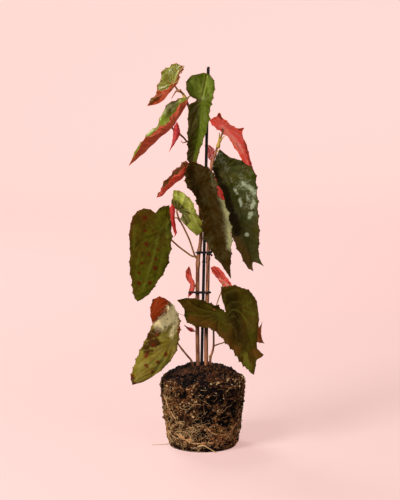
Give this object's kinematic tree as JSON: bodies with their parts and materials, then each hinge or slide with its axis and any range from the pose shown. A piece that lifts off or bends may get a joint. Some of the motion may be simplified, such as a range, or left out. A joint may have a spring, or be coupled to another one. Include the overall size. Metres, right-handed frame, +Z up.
{
  "type": "begonia plant with bare root ball",
  "caption": "Upright begonia with pointed, toothed, spotted leaves, canes tied to a black stake, lifted from its pot with a bare root ball.",
  "frame": {"origin": "centre of the root ball's flat base, on the surface it stands on", "axes": "+Z up along the stems, +X to the right and -Y towards the viewer"},
  "size_m": [0.1732, 0.1136, 0.4864],
  "materials": {
    "leaf_green": "living leaf, olive to dark green with darker spots, semi-gloss",
    "leaf_light": "young leaf, yellow-green, semi-gloss",
    "leaf_red": "young leaf or leaf underside, red, satin",
    "cane": "green wood, reddish brown, satin",
    "root_ball": "moist peat with white grains and tan roots, matt",
    "stake": "black, satin",
    "tie": "black coated wire, satin"
  },
  "bodies": {
    "root": {"cane_left": "cane", "cane_right": "cane", "leaf_01_crown_left": "leaf_green", "leaf_02_upper_left_long": "leaf_green", "leaf_03_top_centre": "leaf_green", "leaf_04_young_pink_upper": "leaf_red", "leaf_05_upper_right_red": "leaf_red", "leaf_06_right_large": "leaf_green", "leaf_07_centre_large": "leaf_green", "leaf_08_mid_left_folded": "leaf_red", "leaf_09_light_green_twisted": "leaf_light", "leaf_10_curled_red": "leaf_red", "leaf_11_left_spotted": "leaf_green", "leaf_12_low_left_spotted": "leaf_green", "leaf_13_low_right_large": "leaf_green", "leaf_14_low_right_pink": "leaf_red", "leaf_15_low_left_pink": "leaf_red", "leaf_16_low_young_tip": "leaf_red", "leaf_17_back_upper": "leaf_red", "leaf_18_back_mid": "leaf_red", "leaf_19_right_curled": "leaf_red", "petiole_low_left": "cane", "root_ball": "root_ball", "side_shoot": "cane", "stake": "stake", "tie_lower": "tie", "tie_thin": "tie", "tie_upper": "tie"}
  },
  "joints": []
}
